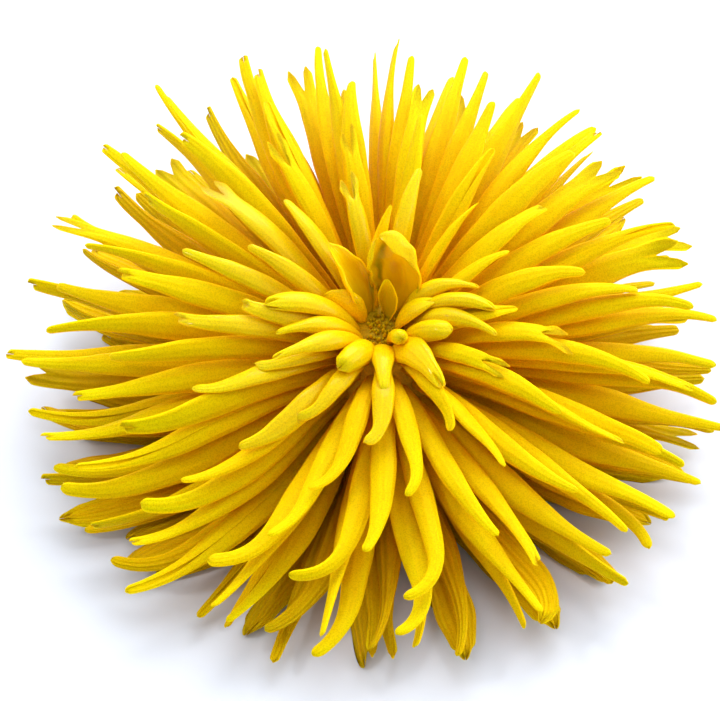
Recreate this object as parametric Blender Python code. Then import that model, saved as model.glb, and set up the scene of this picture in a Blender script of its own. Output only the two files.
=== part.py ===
"""A quilled chrysanthemum head, cut close under the bloom and lying face up.

Rings of tube-shaped ray florets grow from a domed receptacle.  The lowest rings
arch down to the surface and carry the head, and the highest lean over the eye.
Each ring is made in fans: a fan is the strip of receptacle skin that its florets
share, with the florets drawn out of it.  Lengths are in millimetres, and MM turns
them into metres where vertices are made.
"""

import math

import bmesh
import bpy
from mathutils import Matrix, Vector

OBJECT_NAME = "chrysanthemum_head"
MM = 0.001
WELD = 0.01

# The head: a round receptacle whose crown leans toward -Y.
HEAD_HEIGHT = 14.5
HEAD_LEAN = math.radians(15.0)
RECEPTACLE_RADIUS = 10.0
SKIN_GAP = 0.3
SKIN_DEPTH = 0.8
SKIN_WIDTH = 1.15
STALK_RADIUS = 2.6
STALK_CUT = -12.4

# How a floret is followed along its length.
PATH_STEPS = 60
LANDING_REACH = 9.0
FRONT_DROOP = math.radians(16.0)
FRONT_SHORTENING = 0.08
LEFT_REACH = 0.045
ENDS_REACH = 0.03
SIDE_LIFT = math.radians(14.0)
SIDE_SWEEP = math.radians(10.0)
LENGTH_SPREAD = 0.055
TIP_SPREAD = math.radians(1.9)
SWAY_SPREAD = math.radians(5.5)
CURL_BIAS = math.radians(-12.0)
CURL_SPREAD = math.radians(24.0)
NOD_SPREAD = math.radians(10.0)

# Ray rings from the outermost inward: florets, fans, length, elevation of the base
# and of the tip in degrees, greatest width, thickness, and rest height on the ground.
RAY_RINGS = (
    (26, 5, 42.0, -25.0, -40.0, 5.3, 2.0, 1.3),
    (28, 5, 44.0, -12.5, -34.0, 5.1, 2.0, 4.3),
    (29, 5, 45.5, -1.0, -34.0, 4.6, 2.0, 7.4),
    (27, 5, 46.5, 9.5, -33.5, 4.5, 2.0, 10.8),
    (25, 5, 45.5, 19.5, -32.5, 4.4, 1.9, 14.0),
    (22, 4, 42.5, 28.0, -33.0, 4.1, 1.7, 17.0),
    (19, 4, 36.0, 37.7, -32.0, 3.8, 1.4, 20.0),
    (16, 3, 28.0, 48.2, -26.0, 3.5, 1.15, 22.0),
    (13, 3, 20.0, 58.5, -18.5, 3.1, 1.1, 23.0),
)

RING_TWIST = 0.9375
STRAP_RINGS = 3
LONG_RINGS = 6

# Width and thickness along a floret, as (place, share of the greatest size).
RAY_PROFILE = ((0.12, 0.44), (0.36, 0.80), (0.62, 1.0), (0.86, 0.74), (1.0, 0.28))
SHORT_PROFILE = ((0.16, 0.46), (0.42, 0.82), (0.68, 1.0), (0.88, 0.74), (1.0, 0.30))

# Florets around the eye, placed one by one: heading of the base, heading and elevation
# of the tip, ring radius and elevation of the base, length, width, thickness.
HEART_FLORETS = (
    (270, 272, -8, 3.7, 69, 12.4, 2.9, 1.6),
    (245, 226, 6, 3.7, 70, 12.0, 3.4, 1.7),
    (219, 202, -8, 3.7, 69, 19.5, 3.1, 1.5),
    (194, 197, -11, 3.7, 68, 16.0, 3.1, 1.5),
    (173, 188, -12, 3.7, 69, 18.0, 3.0, 1.5),
    (147, 185, 13, 3.7, 74, 8.8, 2.8, 1.4),
    (121, 147, 24, 3.7, 76, 14.5, 4.2, 1.7),
    (59, 150, 34, 3.7, 77, 14.4, 5.8, 1.8),
    (37, -17, -13, 3.7, 73, 15.6, 2.8, 1.4),
    (17, -27, -12, 3.7, 70, 17.4, 2.8, 1.4),
    (-1, -33, -18, 3.7, 69, 17.6, 2.9, 1.5),
    (-26, -16, 21, 3.7, 70, 11.3, 3.2, 1.7),
    (-54, -61, -12, 3.7, 69, 15.6, 3.4, 1.7),
    (-58, -62, 40, 2.3, 80, 7.2, 2.4, 1.8),
    (14, 4, 10, 2.3, 81, 9.8, 2.3, 1.3),
    (72, 108, 60, 2.3, 82, 8.0, 2.2, 1.1),
    (101, 54, 50, 4.6, 60, 17.6, 2.2, 0.9),
)
HEART_SIDES = 8
HEART_FOOT = 0.42
HEART_PROFILE = ((0.14, 0.42), (0.32, 0.72), (0.52, 0.96), (0.70, 1.0), (0.86, 0.74), (1.0, 0.26))

# Bract rings under the florets: bracts, length, elevation of base and tip, width, thickness.
BRACT_RINGS = {
    "inner_bracts": (13, 9.0, -39.0, -42.0, 2.8, 0.8),
    "outer_bracts": (11, 7.5, -53.0, -56.0, 2.4, 0.8),
}
BRACT_PROFILE = ((0.35, 1.0), (0.75, 0.78), (1.0, 0.20))

# The eye between the innermost florets.
DISC_RADIUS = 1.6
DISC_HEIGHT = 0.9
BUD_INSET = 0.12
BUD_HEIGHT = 0.35

TURN = Matrix.Rotation(HEAD_LEAN, 3, "X")
CENTRE = Vector((0.0, 0.0, HEAD_HEIGHT))


def clear_scene():
    """Remove every object, so that the model starts from nothing."""
    for thing in list(bpy.data.objects):
        bpy.data.objects.remove(thing, do_unlink=True)


def make_collection(name):
    """Return a new collection linked to the scene."""
    collection = bpy.data.collections.new(name)
    bpy.context.scene.collection.children.link(collection)
    return collection


def make_material(name, colour, roughness):
    """Return a matt plant material of one colour."""
    material = bpy.data.materials.new(name)
    material.use_nodes = True
    surface = material.node_tree.nodes["Principled BSDF"]
    surface.inputs["Base Color"].default_value = (*colour, 1.0)
    surface.inputs["Roughness"].default_value = roughness
    surface.inputs["Metallic"].default_value = 0.0
    material.diffuse_color = (*colour, 1.0)
    return material


def wobble(ring, index, channel):
    """Return a repeatable value between -1 and 1 for one floret."""
    value = math.sin(ring * 12.9898 + index * 78.233 + channel * 37.719) * 43758.5453
    return 2.0 * (value - math.floor(value)) - 1.0


def direction(elevation, heading):
    """Return the unit vector at an elevation and heading in the head's own axes."""
    level = math.cos(elevation)
    return Vector((level * math.cos(heading), level * math.sin(heading), math.sin(elevation)))


def sideways(heading):
    """Return the level unit vector across a heading in the head's own axes."""
    return Vector((-math.sin(heading), math.cos(heading), 0.0))


def follow(start, length, elevations, headings, rest_height):
    """Walk a floret's midline and return its points, tangents and cross directions.

    elevations and headings give the angle for each share of the length, in the
    head's axes.  Near the ground the midline levels out at rest_height.
    """
    point = start.copy()
    points = [point.copy()]
    tangents = []
    acrosses = []
    stride = length / PATH_STEPS
    for step in range(PATH_STEPS + 1):
        place = step / PATH_STEPS
        heading = headings(place)
        tangent = TURN @ direction(elevations(place), heading)
        steepest = (rest_height - point.z) / LANDING_REACH
        if tangent.z < steepest:
            flat = Vector((tangent.x, tangent.y, 0.0)).normalized()
            tangent = (flat + Vector((0.0, 0.0, steepest))).normalized()
        across = TURN @ sideways(heading)
        across = (across - tangent * across.dot(tangent)).normalized()
        tangents.append(tangent)
        acrosses.append(across)
        point = point + tangent * stride
        points.append(point.copy())
    return points, tangents, acrosses


def ring_start(elevation, heading, radius):
    """Return a point over the receptacle's surface, in world axes."""
    return CENTRE + TURN @ (direction(elevation, heading) * radius)


def ray_path(ring, index, heading):
    """Return the midline of one ray floret, swaying as it grows and curling at its end."""
    length, base, tip, rest_height = (RAY_RINGS[ring][k] for k in (2, 3, 4, 7))
    forward = 0.5 - 0.5 * math.sin(heading)
    sidelong = math.cos(heading)
    base = math.radians(base)
    tip = math.radians(tip) - FRONT_DROOP * (2.0 * forward - 1.0) + SIDE_LIFT * sidelong**2
    tip += TIP_SPREAD * wobble(ring, index, 1)
    length *= 1.0 - FRONT_SHORTENING * forward - LEFT_REACH * sidelong
    length *= 1.0 + ENDS_REACH * (1.0 - sidelong**2) + LENGTH_SPREAD * wobble(ring, index, 2)
    sweep = SIDE_SWEEP * sidelong
    sway = SWAY_SPREAD * wobble(ring, index, 3)
    curl = (0.35 + 0.65 * forward) * (CURL_BIAS + CURL_SPREAD * wobble(ring, index, 4))
    nod = NOD_SPREAD * wobble(ring, index, 5)
    return follow(
        ring_start(base, heading, RECEPTACLE_RADIUS + SKIN_GAP + SKIN_DEPTH),
        length,
        lambda place: base + (tip - base) * place + nod * place**4,
        lambda place: heading + sweep * place * (2.0 - place) + sway * place**2 + curl * place**4,
        rest_height,
    )


def draw_out(mesh, face, path, profile, width, thickness):
    """Extrude a face along a midline into a floret with a rounded point."""
    points, tangents, acrosses = path
    corners = [loop.vert.co / MM - points[0] for loop in face.loops]
    up = tangents[0].cross(acrosses[0])
    first = math.atan2(corners[0].dot(up), corners[0].dot(acrosses[0]))
    count = len(corners)
    turn = math.tau / count
    first = round((first - 0.25 * math.pi) / turn) * turn
    for place, share in profile:
        step = round(place * PATH_STEPS)
        face = bmesh.ops.extrude_discrete_faces(mesh, faces=[face])["faces"][0]
        across = acrosses[step]
        up = tangents[step].cross(across)
        for number, loop in enumerate(face.loops):
            angle = first + number * turn
            offset = across * (0.5 * width * share * math.cos(angle))
            offset += up * (0.5 * thickness * share * math.sin(angle))
            loop.vert.co = (points[step] + offset) * MM


def skin_section(elevation):
    """Return the four corners of a strip of skin over the receptacle, at heading 0."""
    outward = direction(elevation, 0.0)
    upward = Vector((-outward.z, 0.0, outward.x))
    inner = RECEPTACLE_RADIUS + SKIN_GAP
    outer = inner + SKIN_DEPTH
    half = 0.5 * SKIN_WIDTH
    return [
        outward * inner - upward * half,
        outward * outer - upward * half,
        outward * outer + upward * half,
        outward * inner + upward * half,
    ]


def skin_strip(elevation, first_heading, arc, steps):
    """Return a mesh of the strip of skin that carries one fan, in world axes."""
    mesh = bmesh.new()
    spin = Matrix.Rotation(first_heading, 3, "Z")
    section = [mesh.verts.new(spin @ corner) for corner in skin_section(elevation)]
    edges = [mesh.edges.new((section[k - 1], section[k])) for k in range(4)]
    bmesh.ops.spin(
        mesh,
        geom=section + edges,
        cent=(0.0, 0.0, 0.0),
        axis=(0.0, 0.0, 1.0),
        angle=arc,
        steps=steps,
        use_duplicate=False,
    )
    if arc > math.tau - 0.001:
        bmesh.ops.remove_doubles(mesh, verts=mesh.verts, dist=WELD)
    else:
        bmesh.ops.holes_fill(mesh, edges=mesh.edges, sides=4)
    bmesh.ops.recalc_face_normals(mesh, faces=mesh.faces)
    for vert in mesh.verts:
        vert.co = (CENTRE + TURN @ vert.co) * MM
    return mesh


def nearest_face(mesh, point):
    """Return the face whose middle is nearest to a point."""
    return min(mesh.faces, key=lambda face: (face.calc_center_median() - point * MM).length)


def add_node(name, mesh, material, collection, sharp_degrees=40.0):
    """Turn a finished mesh into a smooth-shaded object."""
    bmesh.ops.recalc_face_normals(mesh, faces=mesh.faces)
    data = bpy.data.meshes.new(name)
    mesh.to_mesh(data)
    mesh.free()
    data.materials.append(material)
    data.shade_smooth()
    data.set_sharp_from_angle(angle=math.radians(sharp_degrees))
    node = bpy.data.objects.new(name, data)
    collection.objects.link(node)
    return node


def ray_fan(ring, first, count, phase):
    """Return one fan of neighbouring ray florets on their strip of skin."""
    florets, _, _, base, _, width, thickness, _ = RAY_RINGS[ring]
    spacing = math.tau / florets
    start = phase + first * spacing
    base = math.radians(base)
    mesh = skin_strip(base, start, spacing * (count - 0.5), 2 * count - 1)
    headings = [start + (k + 0.25) * spacing for k in range(count)]
    paths = [ray_path(ring, first + k, headings[k]) for k in range(count)]
    faces = [nearest_face(mesh, path[0][0]) for path in paths]
    profile = RAY_PROFILE if ring < LONG_RINGS else SHORT_PROFILE
    for face, path in zip(faces, paths):
        draw_out(mesh, face, path, profile, width, thickness)
    return mesh


def add_ray_rings(collection, materials):
    """Add every ring of ray florets, fan by fan."""
    for ring, (florets, fans, *_) in enumerate(RAY_RINGS):
        phase = 0.5 * math.tau / florets * (ring % 2) + RING_TWIST * ring
        for fan in range(fans):
            first = fan * florets // fans
            last = (fan + 1) * florets // fans
            mesh = ray_fan(ring, first, last - first, phase)
            name = f"ray_ring_{ring + 1}_fan_{fan + 1}"
            add_node(name, mesh, materials[0 if ring < STRAP_RINGS else 1], collection)


def add_heart(collection, material):
    """Add the short florets around the eye, each a piece of its own."""
    for number, row in enumerate(HEART_FLORETS):
        base_heading, tip_heading, tip, ring_radius, base, length, width, thickness = row
        start_heading = math.radians(base_heading)
        swing = math.radians(tip_heading - base_heading)
        rise = math.radians(base)
        fall = math.radians(tip) - rise
        radius = RECEPTACLE_RADIUS + SKIN_GAP
        elevation = math.acos(ring_radius / radius)
        path = follow(
            ring_start(elevation, start_heading, radius),
            length,
            lambda place: rise + fall * place,
            lambda place: start_heading + swing * place,
            0.0,
        )
        mesh = bmesh.new()
        across = path[2][0]
        up = path[1][0].cross(across)
        angles = [math.tau * k / HEART_SIDES for k in range(HEART_SIDES)]
        spokes = [across * math.cos(angle) + up * math.sin(angle) for angle in angles]
        rim = [mesh.verts.new((path[0][0] + spoke * HEART_FOOT) * MM) for spoke in spokes]
        draw_out(mesh, mesh.faces.new(rim), path, HEART_PROFILE, width, thickness)
        bmesh.ops.holes_fill(mesh, edges=mesh.edges, sides=0)
        add_node(f"heart_floret_{number + 1:02d}", mesh, material, collection)


def add_bracts(collection, material):
    """Add the two rings of green bracts that hold the florets from below."""
    for name, row in BRACT_RINGS.items():
        count, length, base, tip, width, thickness = row
        base = math.radians(base)
        tip = math.radians(tip)
        spacing = math.tau / count
        mesh = skin_strip(base, 0.0, math.tau, 2 * count)
        headings = [(k + 0.25) * spacing for k in range(count)]
        start_radius = RECEPTACLE_RADIUS + SKIN_GAP + SKIN_DEPTH
        paths = [
            follow(
                ring_start(base, heading, start_radius),
                length,
                lambda place: base + (tip - base) * place,
                lambda place, heading=heading: heading,
                0.0,
            )
            for heading in headings
        ]
        faces = [nearest_face(mesh, path[0][0]) for path in paths]
        for face, path in zip(faces, paths):
            draw_out(mesh, face, path, BRACT_PROFILE, width, thickness)
        add_node(name, mesh, material, collection)


def receptacle_profile():
    """Return the outline of the receptacle and its cut stalk, from crown to cut."""
    crown = [
        (RECEPTACLE_RADIUS * math.cos(angle), RECEPTACLE_RADIUS * math.sin(angle))
        for angle in (math.radians(90.0 - 10.0 * k) for k in range(15))
    ]
    crown[0] = (0.0, RECEPTACLE_RADIUS)
    neck = [(4.6, -8.9), (STALK_RADIUS, -10.4), (STALK_RADIUS, STALK_CUT), (0.0, STALK_CUT)]
    return crown + neck


def add_receptacle(collection, material):
    """Add the dome that every floret grows from, with the stump of its stalk."""
    mesh = bmesh.new()
    verts = [mesh.verts.new((x, 0.0, z)) for x, z in receptacle_profile()]
    edges = [mesh.edges.new((a, b)) for a, b in zip(verts, verts[1:])]
    bmesh.ops.spin(
        mesh,
        geom=verts + edges,
        cent=(0.0, 0.0, 0.0),
        axis=(0.0, 0.0, 1.0),
        angle=math.tau,
        steps=24,
        use_duplicate=False,
    )
    bmesh.ops.remove_doubles(mesh, verts=mesh.verts, dist=WELD)
    for vert in mesh.verts:
        vert.co = (CENTRE + TURN @ vert.co) * MM
    add_node("receptacle", mesh, material, collection)


def add_disc(collection, material):
    """Add the cushion of unopened buds in the middle of the eye."""
    mesh = bmesh.new()
    bmesh.ops.create_icosphere(mesh, subdivisions=2, radius=1.0)
    for vert in mesh.verts:
        vert.co = Vector((vert.co.x * DISC_RADIUS, vert.co.y * DISC_RADIUS, vert.co.z * DISC_HEIGHT))
    crown = [face for face in mesh.faces if face.normal.z > 0.3]
    bmesh.ops.inset_individual(mesh, faces=crown, thickness=BUD_INSET, depth=BUD_HEIGHT)
    lift = Vector((0.0, 0.0, RECEPTACLE_RADIUS + SKIN_GAP + DISC_HEIGHT))
    for vert in mesh.verts:
        vert.co = (CENTRE + TURN @ (vert.co + lift)) * MM
    add_node("disc_florets", mesh, material, collection)


def rest_on_ground(nodes):
    """Shift the whole head so that it lies on Z = 0 and is centred over the origin."""
    points = [vert.co for node in nodes for vert in node.data.vertices]
    low = Vector(min(point[axis] for point in points) for axis in range(3))
    high = Vector(max(point[axis] for point in points) for axis in range(3))
    shift = Vector((-0.5 * (low.x + high.x), -0.5 * (low.y + high.y), -low.z))
    for node in nodes:
        node.data.transform(Matrix.Translation(shift))


def build():
    """Model the whole head."""
    clear_scene()
    collection = make_collection(OBJECT_NAME)
    strap = make_material("strap_yellow", (0.72, 0.47, 0.005), 0.45)
    quill = make_material("quill_yellow", (0.84, 0.57, 0.004), 0.42)
    heart = make_material("heart_yellow", (0.90, 0.62, 0.005), 0.40)
    green = make_material("stalk_green", (0.16, 0.24, 0.06), 0.60)
    bract = make_material("bract_green", (0.20, 0.30, 0.08), 0.60)
    amber = make_material("disc_amber", (0.42, 0.24, 0.02), 0.60)
    add_receptacle(collection, green)
    add_bracts(collection, bract)
    add_ray_rings(collection, (strap, quill))
    add_heart(collection, heart)
    add_disc(collection, amber)
    rest_on_ground(list(collection.objects))


build()
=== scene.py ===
"""Looks of the quilled chrysanthemum head: every floret is a thin rolled sheet along its solid's midline.

The head's lengths are in millimetres, and MM turns them into metres where vertices are made. The studio's
lengths, which are the floor's, the lamps' and the camera's, are in metres.
"""

import math

import bpy
import numpy as np
from mathutils import Matrix, Vector


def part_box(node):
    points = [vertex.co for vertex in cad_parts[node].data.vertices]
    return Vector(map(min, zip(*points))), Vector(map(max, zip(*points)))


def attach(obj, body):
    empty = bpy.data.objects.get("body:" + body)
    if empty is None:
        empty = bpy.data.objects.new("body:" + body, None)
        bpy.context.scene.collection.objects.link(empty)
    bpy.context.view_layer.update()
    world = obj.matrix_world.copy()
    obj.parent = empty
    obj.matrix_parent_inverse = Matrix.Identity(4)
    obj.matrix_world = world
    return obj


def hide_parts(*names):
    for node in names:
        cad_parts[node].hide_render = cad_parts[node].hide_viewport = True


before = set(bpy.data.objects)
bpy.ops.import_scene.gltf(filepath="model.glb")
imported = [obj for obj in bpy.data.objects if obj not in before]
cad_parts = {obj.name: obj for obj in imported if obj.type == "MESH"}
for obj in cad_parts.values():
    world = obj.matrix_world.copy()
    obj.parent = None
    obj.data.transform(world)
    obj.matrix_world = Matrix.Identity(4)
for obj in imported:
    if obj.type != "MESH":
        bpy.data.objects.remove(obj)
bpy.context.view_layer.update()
MM = 0.001

# The head, as the solids have it: a round receptacle whose crown leans toward -Y.
HEAD_HEIGHT = 14.5
HEAD_LEAN = math.radians(15.0)
RECEPTACLE_RADIUS = 10.0
SKIN_GAP = 0.3
SKIN_DEPTH = 0.8
STALK_RADIUS = 2.6
STALK_CUT = -12.4
STALK_SIDES = 96
DOME_SWELL = 0.25
TURN = Matrix.Rotation(HEAD_LEAN, 3, "X")
CENTRE = Vector((0.0, 0.0, HEAD_HEIGHT))

# How the solids' midlines run, and how much one floret differs from the next.
PATH_STEPS = 60
LANDING_REACH = 9.0
FRONT_DROOP = math.radians(16.0)
FRONT_SHORTENING = 0.08
LEFT_REACH = 0.045
ENDS_REACH = 0.03
SIDE_LIFT = math.radians(14.0)
SIDE_SWEEP = math.radians(10.0)
LENGTH_SPREAD = 0.055
TIP_SPREAD = math.radians(1.9)
SWAY_SPREAD = math.radians(5.5)
CURL_BIAS = math.radians(-12.0)
CURL_SPREAD = math.radians(24.0)
NOD_SPREAD = math.radians(10.0)
HOOK_TURN = math.radians(-62.0)
HOOK_DIP = math.radians(14.0)
BRACT_RISE = math.radians(24.0)

# How much longer the thin tips at the back are than their solids, the turn of the tip from
# which a floret has the hooked form, and the heading where the oldest straps lie crumpled.
TIP_STRETCH = 0.032
HOOKED_FROM = -0.42
CRUMPLED_SIDE = -0.68 * math.pi

# Ray rings from the outermost inward: florets, fans, length, elevation of the base
# and of the tip in degrees, greatest width, thickness, and rest height on the ground.
RAY_RINGS = (
    (26, 5, 42.0, -25.0, -40.0, 5.3, 2.0, 1.3),
    (28, 5, 44.0, -12.5, -34.0, 5.1, 2.0, 4.3),
    (29, 5, 45.5, -1.0, -34.0, 4.6, 2.0, 7.4),
    (27, 5, 46.5, 9.5, -33.5, 4.5, 2.0, 10.8),
    (25, 5, 45.5, 19.5, -32.5, 4.4, 1.9, 14.0),
    (22, 4, 42.5, 28.0, -33.0, 4.1, 1.7, 17.0),
    (19, 4, 36.0, 37.7, -32.0, 3.8, 1.4, 20.0),
    (16, 3, 28.0, 48.2, -26.0, 3.5, 1.15, 22.0),
    (13, 3, 20.0, 58.5, -18.5, 3.1, 1.1, 23.0),
)
RING_TWIST = 0.9375
FIRST_PLACE = 0.25
STRAP_RINGS = 3
LONG_RINGS = 6
HOOK_RINGS = 2

# From this ring inward, the fans that face this way have the heart's light gloss.
GLOSSY_RINGS = 7
GLOSSY_SIDE = math.radians(215.0)

# Florets around the eye, placed one by one: heading of the base, heading and elevation
# of the tip, ring radius and elevation of the base, length, width, thickness.
HEART_FLORETS = (
    (270, 272, -8, 3.7, 69, 12.4, 2.9, 1.6),
    (245, 226, 6, 3.7, 70, 12.0, 3.4, 1.7),
    (219, 202, -8, 3.7, 69, 19.5, 3.1, 1.5),
    (194, 197, -11, 3.7, 68, 16.0, 3.1, 1.5),
    (173, 188, -12, 3.7, 69, 18.0, 3.0, 1.5),
    (147, 185, 13, 3.7, 74, 8.8, 2.8, 1.4),
    (121, 147, 24, 3.7, 76, 14.5, 4.2, 1.7),
    (59, 150, 34, 3.7, 77, 14.4, 5.8, 1.8),
    (37, -17, -13, 3.7, 73, 15.6, 2.8, 1.4),
    (17, -27, -12, 3.7, 70, 17.4, 2.8, 1.4),
    (-1, -33, -18, 3.7, 69, 17.6, 2.9, 1.5),
    (-26, -16, 21, 3.7, 70, 11.3, 3.2, 1.7),
    (-54, -61, -12, 3.7, 69, 15.6, 3.4, 1.7),
    (-58, -62, 40, 2.3, 80, 7.2, 2.4, 1.8),
    (14, 4, 10, 2.3, 81, 9.8, 2.3, 1.3),
    (72, 108, 60, 2.3, 82, 8.0, 2.2, 1.1),
    (101, 54, 50, 4.6, 60, 17.6, 2.2, 0.9),
)

# Bract rings under the florets: bracts, length, elevation of base and tip, width, thickness.
BRACT_RINGS = {
    "inner_bracts": (13, 9.0, -39.0, -42.0, 2.8, 0.8),
    "outer_bracts": (11, 7.5, -53.0, -56.0, 2.4, 0.8),
}

# The unopened buds of the eye: how many places, how far out, and how clear of a floret's foot.
EYE_BUDS = 110
EYE_REACH = 3.7
BUD_CLEARANCE = 0.62
GOLDEN_ANGLE = math.radians(137.508)

# Series of repeatable values for the florets and buds that are in no ray ring.
HEART_SERIES = 20
BRACT_SERIES = 30
EYE_SERIES = 40

# What differs from floret to floret, each with its own channel of repeatable values. The first
# seven bend the midlines and are the solids' own. The buds of the eye, which are in a series of
# their own, use the first three again.
CHANNELS = {
    "tip": 1,
    "length": 2,
    "sway": 3,
    "curl": 4,
    "nod": 5,
    "hook": 6,
    "dip": 7,
    "width": 8,
    "thickness": 9,
    "uneven": 10,
    "form": 11,
    "strap": 12,
    "notch": 13,
    "spread": 14,
    "open_from": 15,
    "groove": 16,
    "twist": 17,
    "lean": 18,
    "seed": 19,
    "tone": 20,
    "ripe": 21,
    "dry_and_shade": 22,
    "crumple": 23,
    "bud seed": 1,
    "bud heading": 2,
    "bud reach": 3,
}

# A sheet's thickness, the sharpest angle that is shaded smooth, and how far a sheet
# stays off the ground. Its grid is drawn together toward the tip by this power.
SHEET = 0.24
RIM_ANGLE = math.radians(70.0)
GROUND_GAP = 0.02
TIP_CROWDING = 1.8

# Shares of the greatest width along a floret, as (place, share).
SPIKE_WIDTH = (
    (0.0, 0.52), (0.12, 0.60), (0.32, 0.88), (0.46, 1.0), (0.58, 0.94),
    (0.69, 0.72), (0.80, 0.50), (0.91, 0.37), (1.0, 0.27),
)
FORK_WIDTH = (
    (0.0, 0.52), (0.12, 0.60), (0.34, 0.86), (0.54, 1.0), (0.70, 0.90), (0.84, 0.76), (1.0, 0.72),
)
STRAP_WIDTH = (
    (0.0, 0.46), (0.12, 0.56), (0.36, 0.86), (0.62, 1.0), (0.80, 0.90), (0.92, 0.66), (1.0, 0.42),
)
SHORT_WIDTH = (
    (0.0, 0.78), (0.16, 0.86), (0.36, 0.96), (0.52, 1.0), (0.70, 0.86), (0.86, 0.56), (1.0, 0.34),
)
HOOK_WIDTH = (
    (0.0, 0.52), (0.12, 0.60), (0.32, 0.86), (0.50, 1.0), (0.68, 0.80), (0.84, 0.54), (1.0, 0.38),
)
HEART_WIDTH = (
    (0.0, 0.36), (0.14, 0.46), (0.34, 0.78), (0.58, 1.0), (0.76, 0.97), (0.90, 0.72), (1.0, 0.48),
)
HOOD_WIDTH = ((0.0, 0.45), (0.20, 0.80), (0.50, 1.0), (0.80, 0.96), (1.0, 0.74))
MOUTH_WIDTH = ((0.0, 0.45), (0.25, 0.62), (0.50, 0.80), (0.75, 0.95), (1.0, 1.0))
LEAF_WIDTH = ((0.0, 0.40), (0.18, 0.70), (0.42, 1.0), (0.64, 0.94), (0.84, 0.58), (1.0, 0.20))
TAPER_WIDTH = ((0.0, 0.70), (0.14, 0.94), (0.28, 1.0), (0.52, 0.80), (0.78, 0.50), (1.0, 0.36))
PLUMP_WIDTH = ((0.0, 0.42), (0.16, 0.66), (0.40, 0.96), (0.66, 1.0), (0.86, 0.84), (1.0, 0.60))
BRACT_WIDTH = ((0.0, 0.85), (0.20, 0.98), (0.40, 1.0), (0.70, 0.82), (0.90, 0.45), (1.0, 0.14))

# A plain rolled sheet, which each floret's look starts from. Lengthwise values are shares
# of the floret's length, except blunt, which is in millimetres.
PLAIN_LOOK = {
    "around": 14,  # faces across the sheet
    "along": 26,  # faces from foot to tip
    "profile": SPIKE_WIDTH,  # width along the floret
    "blunt": 0.7,  # length of the rounded end
    "close": 0.94,  # how far the rounded end narrows
    "press": 0.0,  # how flat the end is pressed
    "splay": 0.0,  # how far the end widens
    "plan": False,  # teeth are cut as seen from above, not around the tube
    "teeth": 1.0,  # teeth at the end
    "tooth_turn": 0.0,  # where the teeth begin
    "notch": 0.0,  # depth between the teeth
    "uneven": 0.0,  # how much shorter one side of the end is
    "ragged": 0.0,  # waviness of the rim
    "waver": 0.05,  # unevenness of the width
    "open": 0.0,  # how far the seam opens at the tip
    "open_from": 0.8,  # where it starts to open
    "slit": 0.0,  # how far the seam is open all along
    "hood": 0.0,  # how far the slit closes over the tip
    "fold": 0.0,  # how far one edge folds over near the tip
    "groove": 0.0,  # depth of the groove along the seam
    "rib": 0.0,  # height of the ribs
    "ribs": 7.0,  # ribs around the tube
    "ply": 0.6,  # how far the seam's edges overlap
    "twist": 0.0,  # turn about the midline from foot to tip
    "lean": 0.0,  # turn about the midline at the foot, with the seam on top at 180 degrees
    "tone": 0.5,  # depth of the yellow
    "ripe": 0.0,  # olive at the tip
    # The brown of an old floret, together with painted shade on the low rings at the front.
    "dry_and_shade": 0.0,  # brown of an old floret
}

# What sets other forms of ray floret apart from the plain quill.
FORKED = {
    "profile": FORK_WIDTH, "teeth": 1.4, "tooth_turn": 1.0, "close": 0.15, "plan": True, "press": 0.92,
}
LIPPED = {"teeth": 2.0, "tooth_turn": 1.0, "blunt": 0.4, "press": 0.25, "splay": 0.25}
HOOKED = {"profile": HOOK_WIDTH, "blunt": 1.2, "notch": 0.0, "lean": math.pi}
STRAPPED = {
    "profile": STRAP_WIDTH, "waver": 0.10, "rib": 0.07, "ribs": 11.0, "slit": 0.42, "plan": True,
    "teeth": 3.0, "tooth_turn": 0.0, "ragged": 0.014, "blunt": 1.6,
}

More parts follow.
